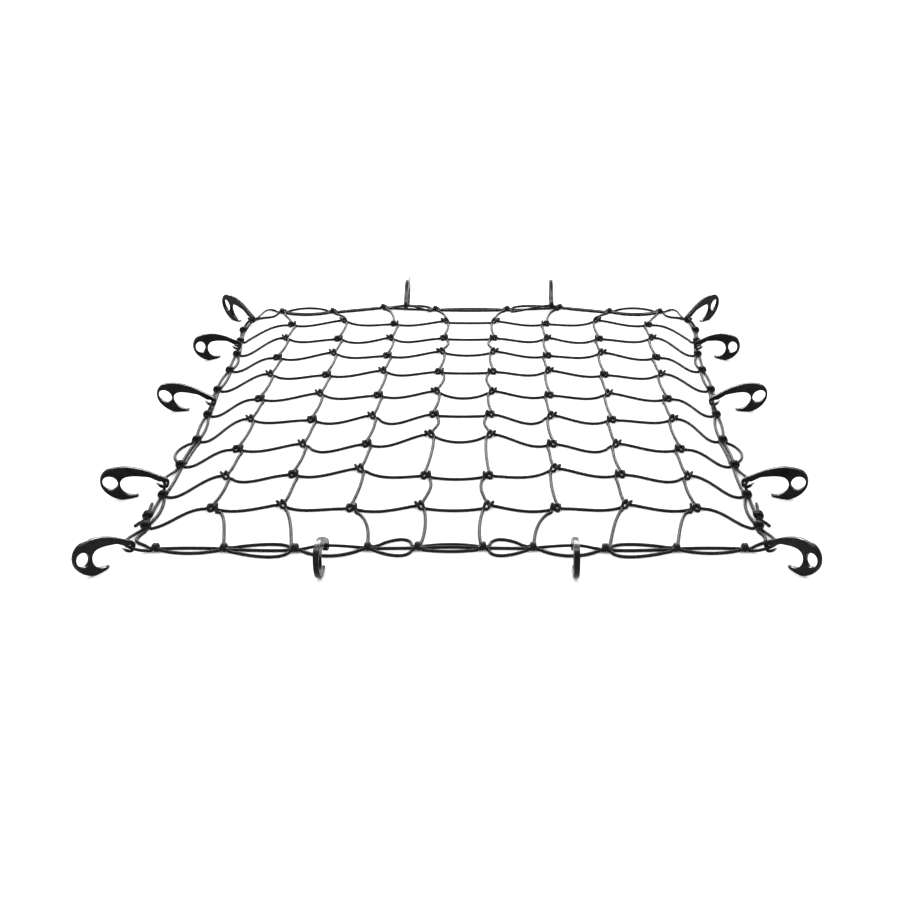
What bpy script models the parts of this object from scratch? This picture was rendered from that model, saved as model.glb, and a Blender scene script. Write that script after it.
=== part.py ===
"""Cargo net of elastic cord, laid out on the ground: a knotted mesh, a doubled border cord
and fourteen moulded hooks that stand on their bows around it.

+Z up. The origin is on the ground under the middle of the whole part, and the front edge faces
-Y. The left half (-X) is described, and the right half mirrors it. Sizes and tables here are in
millimetres, and each finished mesh is scaled to metres.
"""
import math
from collections import namedtuple

import bmesh
import bpy
from mathutils import Matrix, Vector

MM = 0.001
LEFT, RIGHT = 1, -1  # the sign that turns a table's X into the half's own X

# Mesh: four columns of knots on each side of the middle, nine rows from front to back.
PITCH = 100.0
COLUMNS = 4
MIDDLE_COLUMN = 4.5
MIDDLE_ROW = 4
ROW_SHIFT = 26.0  # the mesh is tied a little nearer the back edge
FAN = 0.035  # how much wider the mesh is at its back row than at its front row

# Cord: a round cord of 5 mm, built as a square strand of nearly the same section.
CORD = 4.4
CORD_SPACING = 5.2  # of cords that enter a border knot side by side
CORNER_CORDS = 2  # that run from the front or back edge round a corner to the side
ROW_STEPS = 4  # straight lengths in a cord that runs along a row
COLUMN_STEPS = 3  # and in one that runs along a column
BORDER_STEPS = 4  # and in a border cord at the front or back
SIDE_STEPS = 3  # and in a border cord at a side
ARCH = 0.75  # a cubic curve swings this share of its handles' swing
HANDLE = 0.3  # a bowed cord's handles, as a share of its span
CORNER_SLACK = 0.7  # and those of the loop round a back corner
EYE_LEG_SHARES = (0.4, 0.7)  # where a cord that falls away from a hook's eye is bent
JOIN_REACH = 4.0  # handles of the short cord between the joining knot and the next
JOIN_STEPS = 2
JOIN_CORDS = 2  # at each end of the joining knot: the cord itself and a cut end
CUT_STEPS = 3  # straight lengths in a cut end
END_GAP = 0.6  # from a mesh cord's end to the border knot that holds it

# Knots
KNOT_TOP = 12.0
BORDER_KNOT_HALF = 8.0
BORDER_KNOT_SHOULDER = 5.0
CROWN_SHRINK = 0.75
CROWN_HEIGHTS = (8.6, 10.4)  # alternate crown points, which make the knot's ridges

SIDE_TIE_AT = -5.0  # where a row's cord meets its border knot, from the knot's middle

# Hooks
HOOK_THICKNESS = 7.5
EYE_HEIGHT = 13.0  # of the border cord's middle where a hook lifts it
EYE_LEVEL = 4.5  # the cord runs level this far each way from a hook's middle
EYE_RADIUS = 3.8
EYE_WALL = 3.0
EYE_ARC = (-50.0, -120.0, -180.0, -235.0)  # degrees round the eye's closed end
END_ARC = (-90.0, -140.0, -185.0)  # and round the outside of its wall
THUMB_HOLE_AT = (76.2, 1.7)
THUMB_HOLE_RADII = (12.0, 9.2)
THUMB_HOLE_TILT = 38.0
THUMB_HOLE_SIDES = 10
FOOT_AT = (48.0, -22.6)
FOOT_HALF = 5.0

# "c1" to "c4" say how far each knot lies behind its even place, from the outer column inward.
# "rise" is the way back that a row's cord takes as it leaves the side, "d1" to "d3" the dips that
# it makes as it leaves each knot, and "bay" its swing across the middle.
Row = namedtuple("Row", "name c1 c2 c3 c4 rise d1 d2 d3 bay")
ROWS = (
    Row("A", -14, -5, -14, -8, 6, -12, -16, -13, -8),
    Row("B", -11, -5, 14, -9, -8, -30, -13, -28, -10),
    Row("C", -15, 4, 4, 40, -5, -13, -46, -18, -28),
    Row("D", 3, 0, 16, 22, -8, -18, -26, -54, -4),
    Row("E", -10, 14, 6, 23, -5, -13, -30, -18, -30),
    Row("F", 6, 2, 22, 18, -8, -30, -13, -30, -4),
    Row("G", -10, 15, 0, 21, -8, -20, -30, -13, -16),
    Row("H", -3, -8, -4, -4, -8, -30, -32, -30, -4),
    Row("I", -25, 0, -20, -5, 54, -13, -30, -13, -2),
)

# How a mesh knot's cords leave it and come to it: handles of their curves, along a row towards
# the middle and back along a column.
EARED_ARRIVE, EARED_LEAVE = (-27, -15), 24
ROUND_ARRIVE, ROUND_LEAVE = (-30, -2), 28
COLUMN_ARRIVE = (6, 26)
EARED_DROP, ROUND_DROP, INNER_ROUND_DROP = (4, -30), (-1, -28), (10, -26)
EVEN_DIP = -20  # a cord that dips more than this on leaving a knot also comes lower to the next
DIP_CARRIED = 0.4
SIDE_LEAVE = 22
BAY_LEAVE = 22

# How each column's cord meets the edges: "at" is its place along the border knot, and the
# handles are those of its stretch between that knot and the mesh.
Tail = namedtuple("Tail", "at leave arrive")
FRONT_TAILS = (
    Tail(-3, (12, 2), (-8, 44)),
    Tail(-7, (14, -22), (-6, 36)),
    Tail(-2, (20, -14), (0, 36)),
    Tail(2, (6, -22), (6, 36)),
)
BACK_TAILS = (
    Tail(5, (4, -14), (2, 16)),
    Tail(5, (8, -10), (4, 16)),
    Tail(2, (22, -10), (0, 24)),
    Tail(5, (10, -6), (2, 20)),
)

# Border knots. "at" is the place along the edge and "off" the place across it. "bows" says how
# far each cord that leaves the knot swings inward, the outermost cord first, and "lean" moves
# the swing towards the next knot.
Tie = namedtuple("Tie", "name at off bows lean")
FRONT = (  # from the corner to the middle: at is X, off is Y
    Tie("k0", -392, -506, (-10, 4), 0.0),
    Tie("k1", -301, -506, (-19, -2, 15), 0.4),
    Tie("k2", -206, -507, (-18, 6), 0.0),
    Tie("k3", -110, -503, (-20, 0, 24), 0.4),
    Tie("k4", -43, -502, (-9, 3, 10), 0.0),
)
SIDE = (  # from the front corner to the back corner: at is Y, off is X
    Tie("A", -442, -422, (-3, 8), 0.0),
    Tie("B", -348, -422, (-2, 4), 0.0),
    Tie("C", -247, -421, (-20, -2, 4), 0.0),
    Tie("D", -155, -417, (-5, 6), 0.0),
    Tie("E", -54, -422, (-4, 3), 0.0),
    Tie("F", 56, -429, (-5, 5), 0.0),
    Tie("G", 150, -427, (-3, 8), 0.0),
    Tie("H", 232, -430, (-3, 4), 0.0),
    Tie("I", 304, -438, (-2, 2), 0.0),
    Tie("tie", 366, -444, (-3, 3), 0.0),
)
BACK = (  # from the corner to the middle: at is X, off is Y
    Tie("b0", -386, 480, (-26, 10, 18), 0.0),
    Tie("b1", -283, 482, (-3, 4), 0.0),
    Tie("b2", -182, 508, (-22, 1, 36), 0.4),
    Tie("b3", -73, 496, (-7, 6), 0.0),
)

# Cords that turn a corner, the outer one first: how each leaves the side's last knot and comes
# to the front's or the back's first one.
Bend = namedtuple("Bend", "leave arrive")
FRONT_CORNER = (Bend((-12, -24), (-18, -8)), Bend((-14, -44), (-22, 22)))
BACK_CORNER = (Bend((0, 22), (-40, 44)), Bend((-4, 110), (-2, -60)))

# The joining knot closes the outer border cord, and the cord's two cut ends lie beside it.
JOIN = Tie("join", -413, -427, (), 0.0)
CUT_ENDS = ((-432.0, -373.0), (-438.0, -440.0))

# Hooks. "heading" is the way that a hook points, in degrees from +X. "after" is the border
# knot before the hook, and "cord" the one of its cords that the hook's eye holds. "apart" is how
# much farther out the right hook is than the left one.
Hook = namedtuple("Hook", "name x y heading after cord apart")
HOOKS = (
    Hook("corner_front", -422, -519, 236, "corner_front", 0, 0),
    Hook("front", -164, -514, 270, "k2", 1, 0),
    Hook("side_front", -424, -330, 204, "B", 0, 0),
    Hook("side_middle", -421, -22, 189, "E", 0, 0),
    Hook("side_rear", -432, 250, 220, "H", 0, 0),
    Hook("corner_back", -433, 402, 140, "corner_back", 0, 0),
    Hook("back", -134, 492, 90, "b2", 2, 31),
)

# A hook's outline from the side: u runs from its eye to its outer end, v runs up.
BACK_LINE = (
    (-6.5, 5.2), (0.0, 10.2), (10.0, 13.8), (26.0, 20.4), (42.0, 24.8), (58.0, 26.8),
    (72.0, 25.4), (83.0, 21.2), (89.0, 13.6), (90.4, 4.5), (87.5, -5.6), (80.0, -14.4),
    (69.0, -21.2), (58.0, -24.0),
)
POINT_LINE = (
    (36.5, -19.2), (34.5, -15.6), (39.5, -16.9),
)
THROAT_LINE = (
    (48.5, -16.2), (56.5, -11.4), (61.8, -3.4), (62.3, 4.2), (58.5, 9.6), (50.0, 12.1),
    (34.0, 11.9), (22.5, 10.6), (9.0, 4.2),
)
LIP_LINE = (
    (9.2, 0.8), (11.8, 0.6), (6.6, -5.0),
)

# One mesh knot's outline, anticlockwise in the left half. "a" runs to the net's middle, "b" to
# its back. "swell" and "top" place the crown's point over it, and "port" names an open side.
Side = namedtuple("Side", "a b swell top port")
EARED_KNOT = (
    Side(8.6, -7.6, 0.80, 8.2, "inward"),
    Side(8.6, -3.2, 0.85, 8.0, ""),
    Side(7.0, 5.0, 0.80, 9.6, ""),
    Side(4.2, 8.6, 0.72, 9.0, "far"),
    Side(-0.2, 8.6, 0.80, 9.8, ""),
    Side(-7.6, 8.0, 1.00, 9.0, ""),
    Side(-9.0, 3.6, 0.86, 9.8, "outward"),
    Side(-9.0, -0.8, 0.66, 8.6, ""),
    Side(3.2, -9.4, 0.82, 8.8, "near"),
    Side(7.6, -9.4, 0.84, 8.0, ""),
)
ROUND_KNOT = (
    Side(9.4, -5.8, 0.80, 8.6, "inward"),
    Side(9.4, -1.4, 0.86, 8.2, ""),
    Side(8.0, 5.4, 0.84, 9.6, ""),
    Side(1.6, 8.0, 0.76, 8.8, "far"),
    Side(-2.8, 8.0, 0.78, 9.4, ""),
    Side(-7.6, 1.8, 0.84, 8.8, "outward"),
    Side(-7.6, -2.6, 0.80, 9.2, ""),
    Side(-3.8, -8.2, 1.00, 8.2, ""),
    Side(4.4, -9.6, 0.80, 9.2, "near"),
    Side(8.8, -9.6, 0.84, 8.0, ""),
)

# An end is where a strand starts or stops: its middle on the ground, the way out, and the
# section's corners, two low ones before two high ones.
End = namedtuple("End", "middle outward corners")


def plan(x, y, z=0.0):
    return Vector((x, y, z))


def left_of(travel):
    return Vector((-travel.y, travel.x, 0.0))


def origin_shift():
    """From the tables' zero to the part's: its front and back hooks reach equally far."""
    ends = [hook.y for hook in HOOKS if hook.name in ("front", "back")]
    return plan(0, -sum(ends) / len(ends))


def add_knot(bm, spot, along, inward, sides):
    """Add a knot with a flat foot, upright sides and a ridged crown, and return its open sides."""
    foot = [bm.verts.new(spot + along * side.a + inward * side.b) for side in sides]
    shoulder = [bm.verts.new(vert.co + plan(0, 0, CORD)) for vert in foot]
    crown = [
        bm.verts.new(spot + (along * side.a + inward * side.b) * side.swell + plan(0, 0, side.top))
        for side in sides
    ]
    apex = bm.verts.new(spot + plan(0, 0, KNOT_TOP))
    bm.faces.new(foot)
    ends = {}
    for this, side in enumerate(sides):
        following = (this + 1) % len(sides)
        if side.port:
            low = (foot[this], foot[following])
            middle = (low[0].co + low[1].co) / 2
            outward = left_of((low[1].co - low[0].co).normalized())
            if outward.dot(middle - spot) < 0:
                outward.negate()
            ends[side.port] = End(middle, outward, (*low, shoulder[this], shoulder[following]))
        else:
            bm.faces.new((foot[this], foot[following], shoulder[following], shoulder[this]))
        bm.faces.new((shoulder[this], shoulder[following], crown[following], crown[this]))
        bm.faces.new((crown[this], crown[following], apex))
    return ends


def border_sides(cords_before, cords_after):
    """Outline of a border knot, whose two ends hold the given numbers of cords side by side."""
    half, shoulder = BORDER_KNOT_HALF, BORDER_KNOT_SHOULDER
    corners = []
    for reach, count, name in ((half, cords_after, "after"), (-half, cords_before, "before")):
        turn = 1 if reach > 0 else -1
        corners.append((math.copysign(shoulder, reach), -turn * half, ""))
        order = range(count) if turn > 0 else reversed(range(count))
        for cord in order:
            middle = (cord - (count - 1) / 2) * CORD_SPACING
            corners.append((reach, middle - turn * CORD / 2, f"{name}{cord}"))
            corners.append((reach, middle + turn * CORD / 2, ""))
        corners.append((math.copysign(shoulder, reach), turn * half, ""))
    return [
        Side(a, b, CROWN_SHRINK, CROWN_HEIGHTS[index % 2], port)
        for index, (a, b, port) in enumerate(corners)
    ]


def add_section(bm, middle, travel):
    """Add a strand's square section: left low, right low, right high, left high."""
    side, up = left_of(travel) * CORD / 2, plan(0, 0, CORD)
    return [
        bm.verts.new(middle + offset) for offset in (side, -side, -side + up, side + up)
    ]


def section_of(end, travel):
    """An end's corners in the order of a section, seen along the travel."""
    left = left_of(travel)

    def leftness(corner):
        return (corner.co - end.middle).dot(left)

    low_right, low_left = sorted(end.corners[:2], key=leftness)
    high_right, high_left = sorted(end.corners[2:], key=leftness)
    return [low_left, low_right, high_right, high_left]


def add_strand(bm, start, end, route):
    """Skin a strand from one end to another through the middles of the sections between."""
    path = [start.middle, *route, end.middle]
    sections = [section_of(start, start.outward)]
    for before, here, after in zip(path, path[1:], path[2:]):
        travel = after - before
        travel.z = 0.0
        sections.append(add_section(bm, here, travel.normalized()))
    sections.append(section_of(end, -end.outward))
    for near, far in zip(sections, sections[1:]):
        for corner in range(4):
            following = (corner + 1) % 4
            bm.faces.new((near[corner], near[following], far[following], far[corner]))


def cut_end(bm, middle, outward):
    """Add a strand's flat cut end. Its outward way points back along the strand."""
    corners = add_section(bm, middle, outward)
    bm.faces.new(corners)
    return End(middle, outward, corners)


def curve_at(start, leave, arrive, end, share):
    """A point of the cubic curve from start to end, whose handles are given as offsets."""
    rest = 1 - share
    return (
        start * rest ** 3
        + (start + leave) * (3 * rest ** 2 * share)
        + (end + arrive) * (3 * rest * share ** 2)
        + end * share ** 3
    )


def curved_route(start, leave, arrive, end, steps):
    return [
        curve_at(start.middle, leave, arrive, end.middle, step / steps)
        for step in range(1, steps)
    ]


def eye_route(start, leave, arrive, end, hook, hand, slack=HANDLE):
    """A route that rises to a hook's eye, runs level and square to the hook, and falls again."""
    heading = hook_heading(hook, hand)
    through = left_of(plan(math.cos(heading), math.sin(heading)))
    if through.dot(end.middle - start.middle) < 0:
        through.negate()
    lift = plan(0, 0, EYE_HEIGHT - CORD / 2)
    route = []
    for turn, far_end, handle in ((-1, start, leave), (1, end, arrive)):
        level = hook_place(hook, hand) + through * EYE_LEVEL * turn
        span = (far_end.middle - level).length
        reach = span * HANDLE
        handle = handle.normalized() * min(handle.length, span * slack)
        leg = [level + lift]
        for share in EYE_LEG_SHARES:
            point = curve_at(level, through * reach * turn, handle, far_end.middle, share)
            rise = 1 - share
            leg.append(point + lift * rise * rise * (3 - 2 * rise))
        route.append(leg)
    return [*reversed(route[0]), *route[1]]


def bow_handles(start, end, along, inward, own, tie, bow):
    """Handles of a border cord that swings by its bow from the line between two knots."""
    chord = end.middle - start.middle
    swing = inward * (bow - own) / ARCH
    leave = chord * HANDLE * (1 + 2 * tie.lean) + swing
    arrive = -chord * HANDLE * (1 - 2 * tie.lean) + swing
    return leave, arrive


def knot_spot(row_index, column, hand):
    """Middle of a mesh knot. Column 1 is the outermost one."""
    widening = 1 + FAN * (row_index - MIDDLE_ROW + 0.5) / (len(ROWS) - 1)
    x = (column - MIDDLE_COLUMN) * PITCH * widening
    y = (row_index - MIDDLE_ROW) * PITCH + ROW_SHIFT + ROWS[row_index][column]
    return plan(hand * x, y)


def finish(bm, name, material):
    """Close a body's mesh with its faces pointing out, in metres, and make it an object."""
    bmesh.ops.recalc_face_normals(bm, faces=bm.faces)
    bmesh.ops.translate(bm, vec=origin_shift(), verts=bm.verts)
    bmesh.ops.scale(bm, vec=(MM, MM, MM), verts=bm.verts)
    mesh = bpy.data.meshes.new(name)
    bm.to_mesh(mesh)
    bm.free()
    mesh.materials.append(material)
    item = bpy.data.objects.new(name, mesh)
    bpy.context.scene.collection.objects.link(item)
    return item


def make_material(name, colour, roughness):
    material = bpy.data.materials.new(name)
    material.use_nodes = True
    shader = material.node_tree.nodes["Principled BSDF"]
    shader.inputs["Base Color"].default_value = (*colour, 1.0)
    shader.inputs["Roughness"].default_value = roughness
    return material


def is_eared(row_index, column):
    """Knots of the two kinds alternate like the squares of a chessboard."""
    return (row_index + column) % 2 == 0


def build_mesh_net(material):
    bm = bmesh.new()
    back = plan(0, 1)
    for hand in (LEFT, RIGHT):
        along = plan(hand, 0)
        knots = {}
        for row in range(len(ROWS)):
            for column in range(1, COLUMNS + 1):
                sides = EARED_KNOT if is_eared(row, column) else ROUND_KNOT
                spot = knot_spot(row, column, hand)
                knots[row, column] = add_knot(bm, spot, along, back, sides)

        def handle(pair):
            return along * pair[0] + back * pair[1]

        for (row, column), ends in knots.items():
            _, _, _, _, _, rise, *dips = ROWS[row]
            arrive = handle(EARED_ARRIVE if is_eared(row, column) else ROUND_ARRIVE)
            if column > 1:
                start, dip = knots[row, column - 1]["inward"], dips[column - 2]
                leave = handle((EARED_LEAVE if is_eared(row, column - 1) else ROUND_LEAVE, dip))
                arrive += back * (dip - EVEN_DIP) * DIP_CARRIED
            else:
                tie = SIDE[row]
                edge = tie.off + BORDER_KNOT_HALF + END_GAP
                start = cut_end(bm, plan(hand * edge, tie.at + SIDE_TIE_AT), along)
                leave = handle((SIDE_LEAVE, rise))
            end = ends["outward"]
            add_strand(bm, start, end, curved_route(start, leave, arrive, end, ROW_STEPS))

            end = ends["far"]
            if row + 1 < len(ROWS):
                start, arrive = knots[row + 1, column]["near"], handle(COLUMN_ARRIVE)
                plain = INNER_ROUND_DROP if column == COLUMNS else ROUND_DROP
                leave = handle(EARED_DROP if is_eared(row + 1, column) else plain)
            else:
                tie, tail = BACK[column - 1], BACK_TAILS[column - 1]
                edge = tie.off - BORDER_KNOT_HALF - END_GAP
                start = cut_end(bm, plan(hand * (tie.at + tail.at), edge), -back)
                leave, arrive = handle(tail.leave), handle(tail.arrive)
            add_strand(bm, start, end, curved_route(start, leave, arrive, end, COLUMN_STEPS))
            if row == 0:
                tie, tail = FRONT[column], FRONT_TAILS[column - 1]
                edge = tie.off + BORDER_KNOT_HALF + END_GAP
                end = cut_end(bm, plan(hand * (tie.at + tail.at), edge), back)
                start, leave, arrive = ends["near"], handle(tail.leave), handle(tail.arrive)
                add_strand(bm, start, end, curved_route(start, leave, arrive, end, COLUMN_STEPS))
        if hand == LEFT:
            left_knots = knots
    for row in range(len(ROWS)):
        start, end = left_knots[row, COLUMNS]["inward"], knots[row, COLUMNS]["inward"]
        bay = ROWS[row].bay
        leave, arrive = plan(BAY_LEAVE, bay), plan(-BAY_LEAVE, bay)
        add_strand(bm, start, end, curved_route(start, leave, arrive, end, ROW_STEPS))
    return finish(bm, "mesh_net", material)


def build_chain(bm, ties, steps, hand, along, inward, place):
    """Tie one edge's knots and run its cords from knot to knot. Return each knot's ends."""
    knots = []
    cords_before = CORNER_CORDS
    for tie in ties:
        spot = place(tie.at, tie.off)
        sides = border_sides(cords_before, len(tie.bows))
        knots.append(add_knot(bm, spot, along, inward, sides))
        cords_before = len(tie.bows)
    hooks = {(hook.after, hook.cord): hook for hook in HOOKS}
    for tie, ends, following in zip(ties, knots, knots[1:]):
        for cord, bow in enumerate(tie.bows):
            start, end = ends[f"after{cord}"], following[f"before{cord}"]
            own = (cord - (len(tie.bows) - 1) / 2) * CORD_SPACING
            leave, arrive = bow_handles(start, end, along, inward, own, tie, bow)
            hook = hooks.get((tie.name, cord))
            if tie.name == SIDE[0].name and cord == 0:
                join_outer_cord(bm, start, end, hand)
            elif hook:
                add_strand(bm, start, end, eye_route(start, leave, arrive, end, hook, hand))
            else:
                add_strand(bm, start, end, curved_route(start, leave, arrive, end, steps))
    return knots


def join_outer_cord(bm, start, end, hand):
    """Tie the outer cord's joining knot between two border knots, with its two cut ends."""
    along, inward = plan(0, 1), plan(hand, 0)
    sides = border_sides(JOIN_CORDS, JOIN_CORDS)
    ends = add_knot(bm, plan(hand * JOIN.off, JOIN.at), along, inward, sides)
    reach, middle = along * JOIN_REACH, ends["before1"]
    add_strand(bm, start, middle, curved_route(start, reach, -reach, middle, JOIN_STEPS))
    start = ends["after1"]
    reach = (end.middle - start.middle) / 3
    reach.x = 0.0
    add_strand(bm, start, end, curved_route(start, reach, -reach, end, SIDE_STEPS))
    for port, turn, (x, y) in zip(("after0", "before0"), (1, -1), CUT_ENDS):
        cut = cut_end(bm, plan(hand * x, y), -along * turn)
        reach = along * turn * (cut.middle - ends[port].middle).length / 3
        add_strand(bm, ends[port], cut, curved_route(ends[port], reach, -reach, cut, CUT_STEPS))


def hook_place(hook, hand):
    """Where a hook's eye is on its half of the net, on the ground."""
    out = hook.apart if hand == RIGHT else 0
    return plan(hand * (hook.x - out), hook.y)


def hook_heading(hook, hand):
    """The way that a hook points on its half of the net, in radians."""
    heading = math.radians(hook.heading)
    return heading if hand == LEFT else math.pi - heading


def build_border(material):
    bm = bmesh.new()
    hooks = {hook.name: hook for hook in HOOKS}
    middles = []
    for hand in (LEFT, RIGHT):
        across, back = plan(hand, 0), plan(0, 1)

        def edge_place(at, off):
            return plan(hand * at, off)

        def side_place(at, off):
            return plan(hand * off, at)

        front = build_chain(bm, FRONT, BORDER_STEPS, hand, across, back, edge_place)
        side = build_chain(bm, SIDE, SIDE_STEPS, hand, back, across, side_place)
        rear = build_chain(bm, BACK, BORDER_STEPS, hand, across, -back, edge_place)
        middles.append((front[-1], rear[-1]))

        def corner(start, bend, end, hook=None, slack=HANDLE):
            leave, arrive = (across * pair[0] + back * pair[1] for pair in bend)
            if hook:
                route = eye_route(start, leave, arrive, end, hook, hand, slack)
            else:
                route = curved_route(start, leave, arrive, end, BORDER_STEPS + 1)
            add_strand(bm, start, end, route)

        start, end = side[0], front[0]
        corner(start["before0"], FRONT_CORNER[0], end["before0"], hooks["corner_front"])
        corner(start["before1"], FRONT_CORNER[1], end["before1"])
        start, end, hook = side[-1], rear[0], hooks["corner_back"]
        corner(start["after0"], BACK_CORNER[0], end["before0"], hook, CORNER_SLACK)
        corner(start["after1"], BACK_CORNER[1], end["before1"])
    for left, right, tie, inward in (
        (middles[0][0], middles[1][0], FRONT[-1], plan(0, 1)),
        (middles[0][1], middles[1][1], BACK[-1], plan(0, -1)),
    ):
        for cord, bow in enumerate(tie.bows):
            start, end = left[f"after{cord}"], right[f"after{cord}"]
            own = (cord - (len(tie.bows) - 1) / 2) * CORD_SPACING
            leave, arrive = bow_handles(start, end, plan(1, 0), inward, own, tie, bow)
            add_strand(bm, start, end, curved_route(start, leave, arrive, end, BORDER_STEPS))
    return finish(bm, "border_cord", material)


def hook_rest_angle():
    """How far a hook leans back on its bow, so that its foot is on the ground under its eye."""
    reach, drop = FOOT_AT[0], -FOOT_AT[1]
    return math.atan2(drop, reach) - math.asin(EYE_HEIGHT / math.hypot(reach, drop))


def hook_outline():
    """The hook's outline, round its back, foot, point, throat, lip and eye."""
    angle = hook_rest_angle()
    step_u, step_v = FOOT_HALF * math.cos(angle), -FOOT_HALF * math.sin(angle)
    foot = (
        (FOOT_AT[0] + step_u, FOOT_AT[1] + step_v),
        (FOOT_AT[0] - step_u, FOOT_AT[1] - step_v),
    )
    ring = [math.radians(degrees) for degrees in EYE_ARC]
    eye = [(EYE_RADIUS * math.cos(turn), EYE_RADIUS * math.sin(turn)) for turn in reversed(ring)]
    outer = EYE_RADIUS + EYE_WALL
    rim = [math.radians(degrees) for degrees in END_ARC]
    end = [(outer * math.cos(turn), outer * math.sin(turn)) for turn in rim]
    return [*BACK_LINE, *foot, *POINT_LINE, *THROAT_LINE, *eye, *LIP_LINE, *end]


def thumb_hole():
    tilt = math.radians(THUMB_HOLE_TILT)
    points = []
    for index in range(THUMB_HOLE_SIDES):
        turn = math.tau * index / THUMB_HOLE_SIDES
        long, short = THUMB_HOLE_RADII[0] * math.cos(turn), THUMB_HOLE_RADII[1] * math.sin(turn)
        points.append((
            THUMB_HOLE_AT[0] + long * math.cos(tilt) - short * math.sin(tilt),
            THUMB_HOLE_AT[1] + long * math.sin(tilt) + short * math.cos(tilt),
        ))
    return points


def build_hook_mesh(material):
    """The hook's flat plate with its thumb hole, upright on its foot, with the eye over 0, 0."""
    bm = bmesh.new()
    edges = []
    for loop in (hook_outline(), thumb_hole()):
        verts = [bm.verts.new((u, -HOOK_THICKNESS / 2, v)) for u, v in loop]
        edges += [bm.edges.new(pair) for pair in zip(verts, verts[1:] + verts[:1])]
    bmesh.ops.triangle_fill(bm, use_beauty=True, edges=edges)
    plate = bmesh.ops.extrude_face_region(bm, geom=bm.faces[:])
    lifted = [item for item in plate["geom"] if isinstance(item, bmesh.types.BMVert)]
    bmesh.ops.translate(bm, vec=(0, HOOK_THICKNESS, 0), verts=lifted)
    bmesh.ops.recalc_face_normals(bm, faces=bm.faces)
    stand = Matrix.Translation((0, 0, EYE_HEIGHT)) @ Matrix.Rotation(-hook_rest_angle(), 4, "Y")
    bmesh.ops.transform(bm, matrix=Matrix.Scale(MM, 4) @ stand, verts=bm.verts)
    mesh = bpy.data.meshes.new("hook")
    bm.to_mesh(mesh)
    bm.free()
    mesh.materials.append(material)
    return mesh


def build_hooks(material):
    mesh = build_hook_mesh(material)
    for hand, half in ((LEFT, "left"), (RIGHT, "right")):
        for hook in HOOKS:
            item = bpy.data.objects.new(f"hook_{hook.name}_{half}", mesh)
            item.location = (hook_place(hook, hand) + origin_shift()) * MM
            item.rotation_euler.z = hook_heading(hook, hand)
            bpy.context.scene.collection.objects.link(item)


def main():
    for item in list(bpy.data.objects):
        bpy.data.objects.remove(item, do_unlink=True)
    cord = make_material("black_elastic_cord", (0.030, 0.030, 0.031), 0.6)
    plastic = make_material("black_moulded_plastic", (0.012, 0.012, 0.011), 0.25)
    build_mesh_net(cord)
    build_border(cord)
    build_hooks(plastic)


main()
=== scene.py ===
"""Looks of a cargo net of elastic cord: a knotted mesh with a doubled border and fourteen hooks.

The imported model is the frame. The cords are drawn here as round braided cord along the same
routes as the frame's strands, with every turn of their knots, and the hooks as moulded plastic
with rounded edges. Tables and routes are in millimetres, in the left half (-X) of the net, and
finished meshes are in metres. The right half mirrors the left.
"""
import math
import random
from collections import namedtuple

import bmesh
import bpy
from bpy.props import FloatProperty, FloatVectorProperty, IntProperty, PointerProperty
from mathutils import Matrix, Vector


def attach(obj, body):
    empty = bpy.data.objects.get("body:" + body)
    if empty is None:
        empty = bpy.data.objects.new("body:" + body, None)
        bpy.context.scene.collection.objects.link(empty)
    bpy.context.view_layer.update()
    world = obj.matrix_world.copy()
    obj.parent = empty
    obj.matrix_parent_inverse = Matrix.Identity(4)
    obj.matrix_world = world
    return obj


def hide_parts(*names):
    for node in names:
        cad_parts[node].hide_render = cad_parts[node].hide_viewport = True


bl_info = {
    "name": "Cargo net",
    "version": (1, 0, 0),
    "blender": (4, 5, 0),
    "location": "3D View > Sidebar > Cargo net",
    "description": "Elastic cargo net with knotted mesh, doubled border and moulded hooks",
    "category": "Object",
}

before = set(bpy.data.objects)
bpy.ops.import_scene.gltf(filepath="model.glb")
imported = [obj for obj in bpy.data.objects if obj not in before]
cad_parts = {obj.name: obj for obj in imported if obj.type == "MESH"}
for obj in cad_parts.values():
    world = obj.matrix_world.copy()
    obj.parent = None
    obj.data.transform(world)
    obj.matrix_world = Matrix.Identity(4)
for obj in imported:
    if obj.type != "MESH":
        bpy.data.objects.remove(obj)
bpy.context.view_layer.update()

MM = 0.001
SEED = 5  # of the small differences between knots

# The mesh, as in the frame: four columns of knots on each side, nine rows from front to back.
PITCH = 100.0
COLUMNS = 4
MIDDLE_COLUMN = 4.5
MIDDLE_ROW = 4
ROW_SHIFT = 26.0  # the middle row lies this far behind the tables' zero
FAN = 0.035  # the columns spread by this share from the front row to the back one
ARCH = 0.75  # a cubic curve swings this share of its handles' swing
HANDLE = 0.3  # a bowed cord's handles, as a share of its span
CORNER_SLACK = 0.7  # and those of the loop round a back corner
STRAND_STEP = 8.0  # between the points that guide a cord from knot to knot
KNOT_STEP = 2.0  # a cord is drawn at least this finely inside a knot
KNOT_SPAN = 7.0  # points closer than this belong to a knot

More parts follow.
